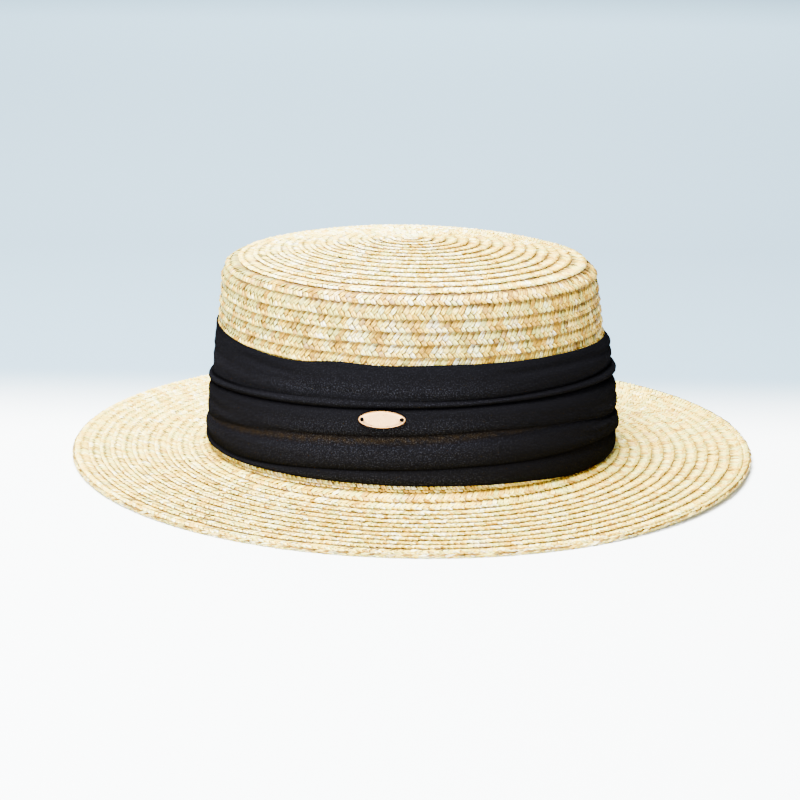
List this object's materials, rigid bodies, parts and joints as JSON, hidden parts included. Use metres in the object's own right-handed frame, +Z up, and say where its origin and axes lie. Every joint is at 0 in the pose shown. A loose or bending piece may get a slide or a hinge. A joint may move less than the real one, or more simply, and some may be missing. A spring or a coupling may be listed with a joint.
{
  "type": "straw boater hat",
  "caption": "Flat-topped straw boater hat with a stiff round brim, a folded cloth band and a small oval metal plate; rests on its brim.",
  "frame": {"origin": "on the table, under the middle of the brim", "axes": "+Z up, +Y from the front of the hat to its back, +X to the right as seen from the front"},
  "size_m": [0.3126, 0.3166, 0.0983],
  "materials": {
    "straw_braid": "semi-gloss natural straw braid, sewn in rows",
    "black_cloth": "matt black crepe with soft folds",
    "rose_gold": "satin rose gold plating"
  },
  "bodies": {
    "root": {"crown": "straw_braid", "brim": "straw_braid", "band": "black_cloth", "oval_plate": "rose_gold"}
  },
  "joints": []
}
